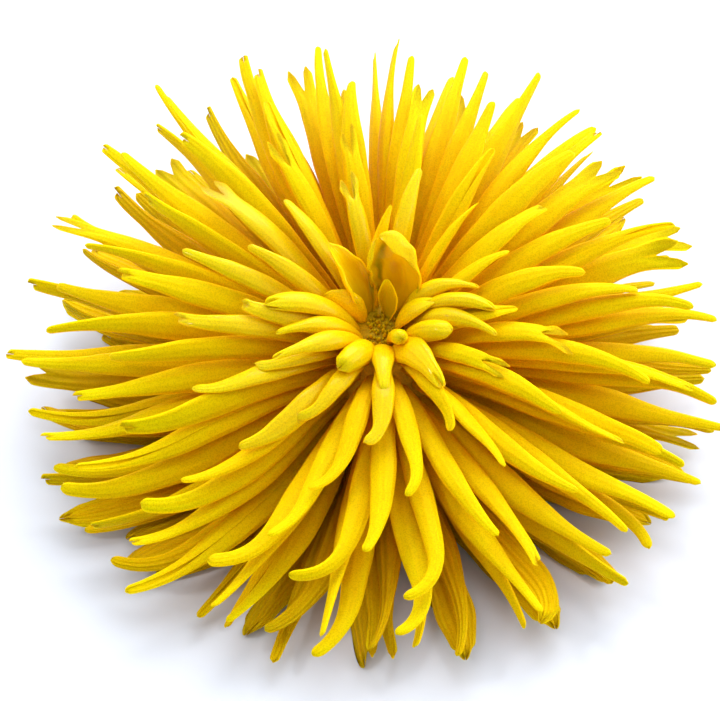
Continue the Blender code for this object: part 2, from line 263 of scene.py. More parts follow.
# How the florets beside the eye are formed, in the solids' order: width along the floret, width and
# thickness against the solid's, blunt, lean in degrees, and what else sets one apart from a plain
# rolled quill. Notches and ragged rims are in millimetres here.
HEART_FORMS = (
    (TAPER_WIDTH, 1.45, 1.7, 1.0, 180, {}),
    (PLUMP_WIDTH, 1.15, 1.9, 1.2, 150, {"notch": 0.8, "teeth": 3.0}),
    (SPIKE_WIDTH, 1.12, 1.8, 0.7, 200, {"notch": 1.3, "teeth": 2.0}),
    (SPIKE_WIDTH, 1.12, 1.8, 0.7, 210, {"notch": 0.4, "teeth": 2.0}),
    (HEART_WIDTH, 1.15, 1.4, 0.6, 190, {"notch": 2.4, "teeth": 4.0, "slit": 0.12, "ragged": 0.3}),
    (LEAF_WIDTH, 1.25, 1.6, 0.5, 120, {"notch": 0.5, "teeth": 2.0, "slit": 0.50}),
    (
        LEAF_WIDTH, 1.15, 1.3, 0.8, 24,
        {"notch": 0.4, "teeth": 2.0, "slit": 0.38, "ragged": 0.5, "waver": 0.12, "rib": 0.06},
    ),
    (
        HOOD_WIDTH, 1.15, 2.3, 2.6, -26,
        {"notch": 0.3, "teeth": 2.0, "slit": 0.42, "hood": 0.35, "fold": 0.80, "waver": 0.10, "rib": 0.07},
    ),
    (SPIKE_WIDTH, 1.05, 1.8, 0.6, 160, {"notch": 0.7, "teeth": 4.0}),
    (HEART_WIDTH, 1.05, 1.7, 1.0, 130, {"notch": 1.6, "teeth": 3.0, "slit": 0.10}),
    (SPIKE_WIDTH, 1.10, 1.8, 0.8, 190, {"notch": 0.4, "teeth": 2.0}),
    (PLUMP_WIDTH, 1.10, 1.9, 1.4, 170, {"notch": 0.2, "teeth": 2.0}),
    (TAPER_WIDTH, 1.45, 1.3, 0.6, 195, {"notch": 2.6, "teeth": 3.0, "slit": 0.26}),
    (MOUTH_WIDTH, 1.10, 1.45, 1.25, 180, {"close": 0.985}),
    (LEAF_WIDTH, 1.50, 1.5, 0.5, 160, {"notch": 1.9, "teeth": 2.0, "slit": 0.40}),
    (LEAF_WIDTH, 1.35, 1.3, 0.5, -35, {"notch": 0.2, "slit": 0.42}),
    (LEAF_WIDTH, 0.95, 1.6, 0.5, 200, {"notch": 0.2, "slit": 0.30}),
)

# The studio's floor: (radius, height) from its flat middle to the top of its rim.
FLOOR_OUTLINE = ((2.5, 0.0), (2.9, 0.03), (3.3, 0.12), (3.7, 0.28), (4.0, 0.50))
FLOOR_SIDES = 64
FLOOR_COLOUR = (0.60, 0.645, 0.72)

# The studio's lamps: name, place, aim, diameter, and power in watts.
LAMPS = (
    ("key", (0.14, 0.64, 0.76), (0.0, 0.0, 0.01), 0.80, 7.9),
    ("side", (0.75, 0.05, 0.36), (0.0, 0.0, 0.01), 0.60, 2.4),
    ("low", (0.34, -0.80, 0.20), (0.0, 0.0, 0.02), 0.60, 0.35),
    ("window", (-0.52, -0.12, 0.60), (0.0, 0.0, 0.02), 0.10, 1.2),
)

# The light from all round: the way it comes from, the range along it over which it grows,
# and its strength at both ends.
SKY_AXIS = (0.26, 0.48, 0.72)
SKY_FROM = -0.30
SKY_TO = 0.85
SKY_DIM = 0.20
SKY_BRIGHT = 1.80

CAMERA_ELEVATION = math.radians(45.0)
CAMERA_DISTANCE = 0.400
CAMERA_TARGET = Vector((-0.0006, 0.0, 0.0155))
FRAME_WIDTH = 0.1120
SENSOR_WIDTH = 36.0


def wobble(ring, index, channel):
    """Return a repeatable value between -1 and 1 for one thing that differs in one floret."""
    value = math.sin(ring * 12.9898 + index * 78.233 + CHANNELS[channel] * 37.719) * 43758.5453
    return 2.0 * (value - math.floor(value)) - 1.0


def vary(floret, channel, middle, spread):
    """Return a repeatable value within a spread of the middle, for a floret's (ring, index)."""
    return middle + spread * wobble(*floret, channel)


def smooth(value):
    """Return the smooth step of a value or array, from 0 to 1."""
    value = np.clip(value, 0.0, 1.0)
    return value * value * (3.0 - 2.0 * value)


def rise(value, first, last):
    """Return the smooth step of a value or array that is 0 up to first and 1 from last."""
    return smooth((value - first) / (last - first))


def profile_at(profile, place):
    """Return a smooth curve through (place, share) pairs at the given places."""
    places = np.array([row[0] for row in profile])
    shares = np.array([row[1] for row in profile])
    slopes = np.gradient(shares, places)
    cell = np.clip(np.searchsorted(places, place, side="right") - 1, 0, len(places) - 2)
    span = places[cell + 1] - places[cell]
    t = np.clip((place - places[cell]) / span, 0.0, 1.0)
    first = shares[cell] * (2 * t**3 - 3 * t**2 + 1) + slopes[cell] * span * (t**3 - 2 * t**2 + t)
    last = shares[cell + 1] * (3 * t**2 - 2 * t**3) + slopes[cell + 1] * span * (t**3 - t**2)
    return first + last


def direction(elevation, heading):
    """Return the unit vector at an elevation and heading in the head's own axes."""
    level = math.cos(elevation)
    return Vector((level * math.cos(heading), level * math.sin(heading), math.sin(elevation)))


def sideways(heading):
    """Return the level unit vector across a heading in the head's own axes."""
    return Vector((-math.sin(heading), math.cos(heading), 0.0))


def follow(start, length, elevations, headings, rest_height):
    """Walk a floret's midline and return its points, tangents and cross directions as arrays."""
    point = start.copy()
    points = []
    tangents = []
    acrosses = []
    stride = length / PATH_STEPS
    for step in range(PATH_STEPS + 1):
        place = step / PATH_STEPS
        heading = headings(place)
        tangent = TURN @ direction(elevations(place), heading)
        steepest = (rest_height - point.z) / LANDING_REACH
        if tangent.z < steepest:
            flat = Vector((tangent.x, tangent.y, 0.0)).normalized()
            tangent = (flat + Vector((0.0, 0.0, steepest))).normalized()
        across = TURN @ sideways(heading)
        across = (across - tangent * across.dot(tangent)).normalized()
        points.append(point.copy())
        tangents.append(tangent)
        acrosses.append(across)
        point = point + tangent * stride
    return np.array(points), np.array(tangents), np.array(acrosses)


def ring_start(elevation, heading, radius):
    """Return a point over the receptacle's surface, before the shift."""
    return CENTRE + TURN @ (direction(elevation, heading) * radius)


def hook_of(ring, index, forward):
    """Return how far a floret's last third turns sideways and down."""
    if ring < HOOK_RINGS:
        return 0.0, 0.0
    strength = forward * max(0.0, wobble(ring, index, "hook"))
    return HOOK_TURN * strength, HOOK_DIP * wobble(ring, index, "dip") * forward


def ray_path(ring, index, heading):
    """Return the midline of one ray floret."""
    length, base, tip, rest_height = (RAY_RINGS[ring][k] for k in (2, 3, 4, 7))
    forward = 0.5 - 0.5 * math.sin(heading)
    sidelong = math.cos(heading)
    base = math.radians(base)
    tip = math.radians(tip) - FRONT_DROOP * (2.0 * forward - 1.0) + SIDE_LIFT * sidelong**2
    tip += TIP_SPREAD * wobble(ring, index, "tip")
    length *= 1.0 - FRONT_SHORTENING * forward - LEFT_REACH * sidelong
    length *= 1.0 + ENDS_REACH * (1.0 - sidelong**2) + LENGTH_SPREAD * wobble(ring, index, "length")
    length *= 1.0 + TIP_STRETCH * float(rise(1.0 - forward, 0.65, 0.90))
    sweep = SIDE_SWEEP * sidelong
    sway = SWAY_SPREAD * wobble(ring, index, "sway")
    curl = (0.35 + 0.65 * forward) * (CURL_BIAS + CURL_SPREAD * wobble(ring, index, "curl"))
    nod = NOD_SPREAD * wobble(ring, index, "nod")
    hook, dip = hook_of(ring, index, forward)
    return follow(
        ring_start(base, heading, RECEPTACLE_RADIUS + SKIN_GAP + SKIN_DEPTH),
        length,
        lambda place: base + (tip - base) * place + nod * place**4 + dip * max(0.0, place - 0.72) / 0.28,
        lambda place: (
            heading
            + sweep * place * (2.0 - place)
            + sway * place**2
            + curl * place**4
            + hook * (max(0.0, place - 0.70) / 0.30) ** 1.5
        ),
        rest_height,
    )


def heart_path(row):
    """Return the midline of one floret beside the eye."""
    base_heading, tip_heading, tip, ring_radius, base, length, _, _ = row
    start_heading = math.radians(base_heading)
    swing = math.radians(tip_heading - base_heading)
    rising = math.radians(base)
    fall = math.radians(tip) - rising
    radius = RECEPTACLE_RADIUS + SKIN_GAP
    elevation = math.acos(ring_radius / radius)
    return follow(
        ring_start(elevation, start_heading, radius),
        length,
        lambda place: rising + fall * place,
        lambda place: start_heading + swing * place,
        0.0,
    )


def bract_path(heading, length, base, tip):
    """Return the midline of one bract."""
    rising = math.radians(base)
    fall = math.radians(tip) - rising
    return follow(
        ring_start(rising, heading, RECEPTACLE_RADIUS + SKIN_GAP + 0.5 * SKIN_DEPTH),
        length,
        lambda place: rising + fall * place + BRACT_RISE * place**2,
        lambda place: heading,
        0.0,
    )


def dome_points():
    """Return the corners of the receptacle's solid before the shift."""
    crown = [
        (RECEPTACLE_RADIUS * math.cos(angle), RECEPTACLE_RADIUS * math.sin(angle))
        for angle in (math.radians(90.0 - 10.0 * k) for k in range(15))
    ]
    outline = crown + [(4.6, -8.9), (STALK_RADIUS, -10.4), (STALK_RADIUS, STALK_CUT)]
    spins = [math.tau * k / 24 for k in range(24)]
    return [
        CENTRE + TURN @ Vector((x * math.cos(spin), x * math.sin(spin), z))
        for x, z in outline
        for spin in spins
    ]


def find_shift():
    """Return how far the solids moved when the head was set on the ground."""
    low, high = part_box("receptacle")
    corners = np.array(dome_points())
    first = np.array(low) / MM - corners.min(axis=0)
    last = np.array(high) / MM - corners.max(axis=0)
    return 0.5 * (first + last)


SHIFT = find_shift()


def in_world(local):
    """Return points given in the head's own axes as points of the scene, in millimetres."""
    return local @ np.array(TURN).T + np.array(CENTRE) + SHIFT


def at(values, place):
    """Return a path's rows at the given shares of its length."""
    cell = np.clip(place, 0.0, 1.0) * PATH_STEPS
    low = np.minimum(cell.astype(int), PATH_STEPS - 1)
    part = (cell - low)[..., None]
    return values[low] * (1.0 - part) + values[low + 1] * part


def seam_gap(look, place, side):
    """Return how far a sheet stands open at its seam, as a share of the whole tube."""
    gap = look["open"] * rise(place, look["open_from"], 1.0)
    gap = gap + look["slit"] * (1.0 - look["hood"] * rise(place, 0.55, 1.0))
    return gap * (1.0 - look["fold"] * rise(place, 0.50, 0.85) * smooth(-side))


def end_cut(look, spot):
    """Return the share of the length that the teeth and the ragged rim take off the end."""
    teeth = np.abs(np.cos(0.5 * math.pi * (spot * look["teeth"] + look["tooth_turn"])))
    ragged = 0.5 + 0.5 * np.sin(spot * 9.0 + look["seed"] * 11.0)
    cut = look["notch"] * (1.0 - teeth) ** 0.7 + look["ragged"] * ragged
    return cut + look["uneven"] * (0.5 - 0.5 * np.sin(0.5 * math.pi * spot))


def tube_size(look, place, drawn):
    """Return half the width and half the depth of the rolled tube."""
    seed = look["seed"]
    blunt = look["blunt"] / look["length"]
    waver = 1.0 + look["waver"] * np.sin(drawn * 9.0 + seed * 40.0) * np.sin(drawn * 17.0 + seed * 23.0)
    share = profile_at(look["profile"], drawn)
    share = share * np.sqrt(1.0 - look["close"] * np.clip((place - 1.0 + blunt) / blunt, 0.0, 1.0) ** 2)
    wide = 0.5 * look["width"] * share * waver
    deep = 0.5 * look["thickness"] * (0.35 * share + 0.65 * share**1.3) / waver
    return wide, deep * (1.0 - look["press"] * rise(place, 0.62, 1.0))


def sheet_faces(rows, cols):
    """Return the quads of a sheet's outer layer, its inner layer and the rim between them."""
    number = np.arange(rows * cols).reshape(rows, cols)
    cells = [number[:-1, :-1], number[:-1, 1:], number[1:, 1:], number[1:, :-1]]
    outer = np.stack(cells, axis=-1).reshape(-1, 4)
    inner = outer[:, ::-1] + rows * cols
    edge = np.concatenate([number[0, :], number[1:, -1], number[-1, -2::-1], number[-2:0:-1, 0]])
    after = np.roll(edge, -1)
    rim = np.stack([after, edge, edge + rows * cols, after + rows * cols], axis=-1)
    return np.concatenate([outer, inner, rim])


def roll_floret(path, look):
    """Roll one thin sheet along a midline; return its corners, faces and paint values."""
    rows = look["along"] + 1
    cols = look["around"] + 1
    stations = 1.0 - (1.0 - np.linspace(0.0, 1.0, rows)) ** TIP_CROWDING
    place, side = np.meshgrid(stations, np.linspace(-1.0, 1.0, cols), indexing="ij")
    gap = seam_gap(look, place, side)
    angle = math.pi * (1.0 - gap) * side
    spot = np.sin(angle) if look["plan"] else side
    drawn = place - end_cut(look, spot) * rise(place, 0.72, 1.0)
    wide, deep = tube_size(look, place, drawn)

    rib = 1.0 + look["rib"] * np.cos(angle * look["ribs"]) * rise(place, 0.0, 0.3)
    groove = 1.0 - look["groove"] * rise(np.abs(side), 0.62, 1.0) * (1.0 - gap)
    splay = 1.0 + look["splay"] * rise(place, 0.78, 1.0)
    x = wide * np.sin(angle) * rib * (1.0 + 0.35 * gap) * splay
    z = -deep * np.cos(angle) * groove * rib
    z -= look["ply"] * side * SHEET * 0.5

    centre = at(path[0], drawn) + SHIFT
    tangent = at(path[1], drawn)
    tangent /= np.linalg.norm(tangent, axis=-1, keepdims=True)
    up = np.cross(tangent, at(path[2], drawn))
    up /= np.linalg.norm(up, axis=-1, keepdims=True)
    across = np.cross(up, tangent)
    turn = look["twist"] * smooth(place) + look["lean"]

    thin_x = np.clip(1.0 - SHEET / np.maximum(wide, 0.01), 0.25, 1.0)
    thin_z = np.clip(1.0 - SHEET / np.maximum(deep, 0.01), 0.25, 1.0)
    layers = []
    for scale_x, scale_z in ((1.0, 1.0), (thin_x, thin_z)):
        px = x * scale_x
        pz = z * scale_z
        turned_x = px * np.cos(turn) - pz * np.sin(turn)
        turned_z = px * np.sin(turn) + pz * np.cos(turn)
        layer = centre + across * turned_x[..., None] + up * turned_z[..., None]
        layer[..., 2] = np.maximum(layer[..., 2], GROUND_GAP)
        layers.append(layer.reshape(-1, 3))
    count = rows * cols
    paint = {
        "along": np.tile(place.ravel(), 2),
        "across": np.tile(side.ravel(), 2),
        "reach": np.tile(drawn.ravel() * look["length"], 2),
        "inside": np.concatenate([np.zeros(count), np.ones(count)]),
        "tone": np.full(2 * count, look["tone"]),
        "ripe": np.full(2 * count, look["ripe"]),
        "dry_and_shade": np.full(2 * count, look["dry_and_shade"]),
    }
    return np.concatenate(layers), sheet_faces(rows, cols), paint


def add_piece(name, parts, material):
    """Join parts made of quads into one piece that rides on the root."""
    corners = []
    faces = []
    paint = {}
    count = 0
    for part_corners, part_faces, part_paint in parts:
        corners.append(part_corners)
        faces.append(part_faces + count)
        count += len(part_corners)
        for key, values in part_paint.items():
            paint.setdefault(key, []).append(values)
    corners = np.concatenate(corners) * MM
    faces = np.concatenate(faces)
    mesh = bpy.data.meshes.new(name)
    mesh.vertices.add(len(corners))
    mesh.vertices.foreach_set("co", corners.astype(np.float32).ravel())
    mesh.loops.add(faces.size)
    mesh.loops.foreach_set("vertex_index", faces.astype(np.int32).ravel())
    mesh.polygons.add(len(faces))
    mesh.polygons.foreach_set("loop_start", np.arange(0, faces.size, 4, dtype=np.int32))
    mesh.update(calc_edges=True)
    mesh.validate()
    mesh.shade_smooth()
    mesh.set_sharp_from_angle(angle=RIM_ANGLE)
    for key, values in paint.items():
        attribute = mesh.attributes.new(key, "FLOAT", "POINT")
        attribute.data.foreach_set("value", np.concatenate(values).astype(np.float32))
    mesh.materials.append(material)
    piece = bpy.data.objects.new(name, mesh)
    bpy.context.scene.collection.objects.link(piece)
    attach(piece, "root")
    return piece


def tinted(colour, shares):
    """Return a colour with each channel scaled by its share."""
    return tuple(c * k for c, k in zip(colour, shares))


def between(first, second):
    """Return the colour halfway between two."""
    return tuple(0.5 * a + 0.5 * b for a, b in zip(first, second))


class Skin:
    """A material being built on a Principled BSDF, with short ways to add its nodes."""

    def __init__(self, name):
        self.material = bpy.data.materials.new(name)
        self.material.use_nodes = True
        self.nodes = self.material.node_tree.nodes
        self.links = self.material.node_tree.links
        self.surface = self.nodes["Principled BSDF"].inputs
        self.spot = self.nodes.new("ShaderNodeTexCoord").outputs["Object"]

    def put(self, value, socket):
        """Set a socket to a number or a colour, or link it to another node's output."""
        if isinstance(value, bpy.types.NodeSocket):
            self.links.new(value, socket)
        elif isinstance(value, tuple):
            socket.default_value = (*value, 1.0)
        else:
            socket.default_value = value

    def painted(self, key):
        """Return the paint values that the mesh carries under a name."""
        node = self.nodes.new("ShaderNodeAttribute")
        node.attribute_name = key
        return node.outputs["Fac"]

    def math(self, kind, first, second=0.0):
        """Return the result of a Math node."""
        node = self.nodes.new("ShaderNodeMath")
        node.operation = kind
        self.put(first, node.inputs[0])
        self.put(second, node.inputs[1])
        return node.outputs[0]

    def mix(self, factor, first, second, kind="MIX"):
        """Return two colours mixed by a factor."""
        node = self.nodes.new("ShaderNodeMix")
        node.data_type = "RGBA"
        node.blend_type = kind
        self.put(factor, node.inputs["Factor"])
        self.put(first, node.inputs[6])
        self.put(second, node.inputs[7])
        return node.outputs[2]

    def ramp(self, value, *stops):
        """Return a colour ramp through (place, colour) stops; a number stands for a grey."""
        node = self.nodes.new("ShaderNodeValToRGB")
        elements = node.color_ramp.elements
        while len(elements) < len(stops):
            elements.new(0.5)
        for element, (place, colour) in zip(elements, stops):
            element.position = place
            element.color = (*colour, 1.0) if isinstance(colour, tuple) else (colour, colour, colour, 1.0)
        self.put(value, node.inputs[0])
        return node.outputs[0]

    def noise(self, where, scale, detail, roughness=0.5):
        """Return a noise pattern over the given coordinates."""
        node = self.nodes.new("ShaderNodeTexNoise")
        node.inputs["Scale"].default_value = scale
        node.inputs["Detail"].default_value = detail
        node.inputs["Roughness"].default_value = roughness
        self.put(where, node.inputs["Vector"])
        return node.outputs["Fac"]

    def lane(self, across, along, depth=0.0):
        """Return coordinates that follow a sheet's own width and length."""
        node = self.nodes.new("ShaderNodeCombineXYZ")
        for socket, value in zip(node.inputs, (across, along, depth)):
            self.put(value, socket)
        return node.outputs[0]

    def relief(self, height, strength, distance):
        """Roughen the surface by a height, at a distance in metres."""
        node = self.nodes.new("ShaderNodeBump")
        node.inputs["Strength"].default_value = strength
        node.inputs["Distance"].default_value = distance
        self.put(height, node.inputs["Height"])
        self.put(node.outputs[0], self.surface["Normal"])

    def glow(self, weight, radius, scale):
        """Let light pass under the surface, by channel and by a distance in metres."""
        self.surface["Subsurface Weight"].default_value = weight
        self.surface["Subsurface Radius"].default_value = radius
        self.surface["Subsurface Scale"].default_value = scale


def plant_material(name, *stops):
    """Return a matt green plant material: colour by length, fine veins, mottling and down."""
    skin = Skin(name)
    lane = skin.lane(
        skin.math("MULTIPLY", skin.painted("across"), 14.0),
        skin.math("MULTIPLY", skin.painted("reach"), 0.25),
    )
    vein = skin.noise(lane, 1.0, 3.0)
    down = skin.noise(skin.spot, 3800.0, 2.0)
    colour = skin.ramp(skin.painted("along"), *stops)
    colour = skin.mix(1.0, colour, skin.ramp(vein, (0.35, (0.62, 0.66, 0.60)), (0.65, 1.0)), "MULTIPLY")
    colour = skin.mix(1.0, colour, skin.ramp(down, (0.36, (0.80, 0.82, 0.78)), (0.62, 1.0)), "MULTIPLY")
    skin.put(colour, skin.surface["Base Color"])
    skin.relief(vein, 0.6, 0.0004)
    skin.glow(0.15, (0.5, 1.0, 0.2), 0.0015)
    skin.surface["Roughness"].default_value = 0.62
    skin.surface["Specular IOR Level"].default_value = 0.12
    return skin.material


def petal_material(name, root, body, tip, rough, gloss=0.0, ribbed=0.06, depth=0.55):
    """Return a velvety petal material: deep root, bright body, pale tip, ribs and fine grain, with painted
    shade in the furrows and on the inner side down the tube, the deepest of it reaching up to the share
    depth of the length.
    """
    skin = Skin(name)
    along = skin.painted("along")
    across = skin.painted("across")
    tone = skin.painted("tone")
    inside = skin.painted("inside")
    lane = skin.lane(
        skin.math("MULTIPLY", across, 7.0),
        skin.math("MULTIPLY", skin.painted("reach"), 0.10),
        skin.math("MULTIPLY", tone, 40.0),
    )
    streak = skin.noise(lane, 1.0, 3.0, 0.6)
    blotch = skin.noise(skin.spot, 260.0, 2.0)
    grain = skin.noise(skin.spot, 4600.0, 1.0)
    rib = skin.math("SINE", skin.math("MULTIPLY", across, 30.0))

    # From foot to tip, then deeper or paler from floret to floret and from spot to spot.
    colour = skin.ramp(
        along,
        (0.0, root),
        (0.30, between(root, body)),
        (0.60, body),
        (0.80, between(body, tip)),
        (0.95, tip),
    )
    colour = skin.mix(skin.math("MULTIPLY", tone, 0.55), colour, tinted(body, (1.0, 0.80, 0.6)))
    colour = skin.mix(skin.ramp(streak, (0.45, 0.0), (0.75, 0.5)), colour, tinted(body, (0.93, 0.74, 0.5)))
    colour = skin.mix(skin.ramp(blotch, (0.48, 0.0), (0.78, 0.30)), colour, tinted(tip, (1.0, 1.03, 1.0)))

    # Olive tips, and brown from the tip down on the oldest florets; the same brown is also painted shade
    # on the low rings at the front.
    ripe = skin.math("MULTIPLY", skin.ramp(along, (0.80, 0.0), (1.0, 0.42)), skin.painted("ripe"))
    colour = skin.mix(ripe, colour, (0.62, 0.50, 0.004))
    dry_and_shade = skin.math("MULTIPLY", skin.ramp(along, (0.25, 0.35), (1.0, 1.0)), skin.painted("dry_and_shade"))
    colour = skin.mix(dry_and_shade, colour, (0.50, 0.27, 0.004))

    # Grain, and painted shade in the furrows between the ribs.
    colour = skin.mix(1.0, colour, skin.ramp(grain, (0.36, (0.86, 0.80, 0.76)), (0.56, 1.0)), "MULTIPLY")
    furrow_shade = skin.ramp(skin.math("ADD", rib, 0.4), (0.0, ribbed), (0.8, 0.0))
    colour = skin.mix(furrow_shade, colour, tinted(body, (0.70, 0.66, 0.5)))

    # Painted shade on the inner side of the sheet, deepest down the tube.
    inner_shade = skin.math("MULTIPLY", inside, skin.ramp(along, (0.0, 0.85), (0.60, 0.70), (0.95, 0.15)))
    colour = skin.mix(inner_shade, colour, tinted(body, (0.64, 0.71, 1.0)))
    # hollow: darker painted shade on the inner side, from the foot of the tube up to the share depth of
    # the length.
    hollow = skin.math("MULTIPLY", inside, skin.ramp(along, (0.0, 0.95), (depth, 0.0)))
    colour = skin.mix(hollow, colour, tinted(body, (0.32, 0.40, 1.0)))
    skin.put(colour, skin.surface["Base Color"])

    height = skin.math("ADD", skin.math("MULTIPLY", rib, ribbed), skin.math("MULTIPLY", streak, 0.34))
    skin.relief(skin.math("ADD", height, skin.math("MULTIPLY", grain, 0.12)), 0.55, 0.0006)
    skin.glow(0.60, (1.0, 0.60, 0.03), 0.0030)
    skin.surface["Roughness"].default_value = rough
    skin.surface["Specular IOR Level"].default_value = 0.05
    skin.surface["Specular Tint"].default_value = (1.0, 0.80, 0.05, 1.0)
    skin.surface["Coat Weight"].default_value = gloss
    skin.surface["Coat Roughness"].default_value = 0.09
    return skin.material


STRAP = petal_material(
    "strap_petal", (0.94, 0.38, 0.001), (0.93, 0.47, 0.001), (0.90, 0.55, 0.001), 0.58, ribbed=0.40
)
QUILL = petal_material("quill_petal", (0.98, 0.41, 0.001), (0.98, 0.55, 0.001), (0.98, 0.67, 0.001), 0.58)
# The eye's buds are coloured darker than the florets with painted shade of the eye's hollow.
EYE = petal_material("eye_bud", (0.30, 0.18, 0.002), (0.50, 0.31, 0.002), (0.74, 0.48, 0.003), 0.60)
HEART = petal_material(
    "heart_petal", (0.94, 0.40, 0.001), (0.99, 0.56, 0.001), (0.99, 0.68, 0.001), 0.44,
    gloss=0.16, depth=1.0,
)

# Painted shade in amber on the crown under the eye, yellow between the florets' feet, green stalk, and its
# pale cut.
STALK = plant_material(
    "stalk_skin",
    (0.0, (0.46, 0.28, 0.001)),
    (0.10, (0.66, 0.40, 0.001)),
    (0.18, (0.90, 0.52, 0.003)),
    (0.36, (0.90, 0.56, 0.008)),
    (0.62, (0.13, 0.20, 0.03)),
    (0.80, (0.10, 0.19, 0.03)),
    (0.915, (0.14, 0.22, 0.04)),
    (0.935, (0.30, 0.36, 0.14)),
    (0.96, (0.52, 0.55, 0.30)),
    (1.0, (0.66, 0.66, 0.44)),
)
BRACT = plant_material(
    "bract_skin",
    (0.0, (0.12, 0.20, 0.035)),
    (0.35, (0.16, 0.27, 0.05)),
    (0.75, (0.24, 0.34, 0.08)),
    (1.0, (0.40, 0.38, 0.16)),
)


def ray_look(ring, index, heading):
    """Return the shape of one ray floret's sheet."""
    floret = (ring, index)
    _, _, length, _, _, width, thickness, _ = RAY_RINGS[ring]
    back = 0.5 + 0.5 * math.sin(heading)
    look = dict(
        PLAIN_LOOK,
        length=length,
        width=width * vary(floret, "width", 1.04, 0.14),
        thickness=thickness * 1.40 * vary(floret, "thickness", 1.0, 0.12),
        profile=SPIKE_WIDTH if ring < LONG_RINGS else SHORT_WIDTH,
        notch=0.010,
        ragged=0.004,
        open=0.02,
        open_from=0.86,
        groove=vary(floret, "groove", 0.05, 0.05),
        rib=0.014,
        twist=vary(floret, "twist", 0.0, math.radians(30.0)),
        lean=vary(floret, "lean", math.pi, math.radians(50.0)),
        seed=vary(floret, "seed", 0.5, 0.5),
        tone=vary(floret, "tone", 0.5, 0.5),
        ripe=max(0.0, vary(floret, "ripe", 0.35 * math.cos(heading), 0.45)),
        # Brown of old florets, together with painted shade that is strongest on the lowest rings and at
        # the front, away from the light.
        dry_and_shade=max(0.0, 0.74 - 0.16 * ring) * vary(floret, "dry_and_shade", 0.6, 0.4) * (1.0 - 0.8 * back),
    )
    shape_end(look, floret, heading, back)
    hook, _ = hook_of(ring, index, 1.0 - back)
    if hook < HOOKED_FROM:
        look.update(HOOKED)

    # Straps grow rarer from ring to ring and toward the back.
    rarity = -0.7 + 0.55 * ring + 0.9 * float(rise(back, 0.40, 0.70))
    if ring < STRAP_RINGS and wobble(ring, index, "strap") > rarity:
        shape_strap(look, floret, heading)
    return look


def shape_end(look, floret, heading, back):
    """Give a ray floret's look a forked, lipped, gutter-like or plain end."""
    length = look["length"]

    # Forked ends are commonest at the back, and lipped ones on the left.
    forked = 0.06 + 0.24 * rise(back, 0.45, 0.85)
    lipped = forked + 0.16 + 0.26 * smooth(-1.4 * math.cos(heading))
    gutter = lipped + 0.08
    pick = vary(floret, "form", 0.5, 0.5)
    if pick < forked:
        look.update(FORKED)
        look["notch"] = vary(floret, "notch", 4.8, 1.4) / length
        look["uneven"] = vary(floret, "uneven", 1.3, 1.3) / length
        look["splay"] = vary(floret, "spread", 0.45, 0.20)
        look["lean"] = vary(floret, "lean", math.pi, math.radians(24.0))
        look["twist"] *= 0.5
    elif pick < lipped:
        look.update(LIPPED)
        look["notch"] = vary(floret, "notch", 2.0, 0.8) / length
        look["uneven"] = vary(floret, "uneven", 0.9, 0.9) / length
        look["lean"] = vary(floret, "lean", math.radians(150.0), math.radians(60.0))
    elif pick < gutter:
        look["lean"] = vary(floret, "lean", 0.0, math.radians(24.0))
        look["open"] = vary(floret, "spread", 0.16, 0.06)
        look["open_from"] = vary(floret, "open_from", 0.68, 0.10)
        look["press"] = 0.30


def shape_strap(look, floret, heading):
    """Turn a ray floret's look into a flat ribbed strap, crumpled where the oldest ones lie."""
    ring, _ = floret
    _, _, _, _, _, width, thickness, _ = RAY_RINGS[ring]
    nearness = float(rise(math.cos(heading - CRUMPLED_SIDE), 0.55, 0.85))
    crumple = vary(floret, "crumple", 0.5, 0.5) * nearness
    look.update(STRAPPED)
    look["width"] = width * vary(floret, "width", 1.10, 0.14)
    look["thickness"] = thickness * 0.8 * (1.0 + 1.2 * crumple)
    look["lean"] = vary(floret, "lean", math.pi, math.radians(12.0))
    look["twist"] = vary(floret, "twist", 0.0, math.radians(24.0)) + 1.6 * crumple
    look["notch"] = vary(floret, "notch", 2.2, 0.6) / look["length"]
    look["waver"] += 0.22 * crumple
    look["dry_and_shade"] += 0.75 * crumple


def heart_look(number, row):
    """Return the shape of one floret beside the eye."""
    floret = (HEART_SERIES, number)
    _, _, _, _, _, length, width, thickness = row
    profile, widening, thickening, blunt, lean, extras = HEART_FORMS[number]
    look = dict(
        PLAIN_LOOK,
        around=20,
        along=30,
        length=length,
        width=width * widening,
        thickness=thickness * thickening,
        profile=profile,
        blunt=blunt,
        tooth_turn=1.0,
        ragged=0.1,
        waver=0.04,
        groove=0.08,
        rib=0.02,
        twist=vary(floret, "twist", 0.0, math.radians(14.0)),
        lean=math.radians(lean),
        seed=vary(floret, "seed", 0.5, 0.5),
        tone=vary(floret, "tone", 0.35, 0.35),
        ripe=0.05,
    )
    look.update(extras)
    look["notch"] /= length
    look["ragged"] /= length
    return look


def bract_look(ring, index, length, width, thickness):
    """Return the shape of one bract: a thin keeled leaf, hollow toward the florets."""
    floret = (ring, index)
    return dict(
        PLAIN_LOOK,
        around=12,
        along=20,
        length=length,
        width=width * vary(floret, "width", 1.30, 0.10),
        thickness=thickness * 1.6,
        profile=BRACT_WIDTH,
        blunt=0.6,
        ragged=0.01,
        slit=0.52,
        rib=0.05,
        ribs=9.0,
        ply=0.0,
        twist=vary(floret, "twist", 0.0, math.radians(8.0)),
        seed=vary(floret, "seed", 0.5, 0.5),
        tone=vary(floret, "tone", 0.5, 0.5),
    )


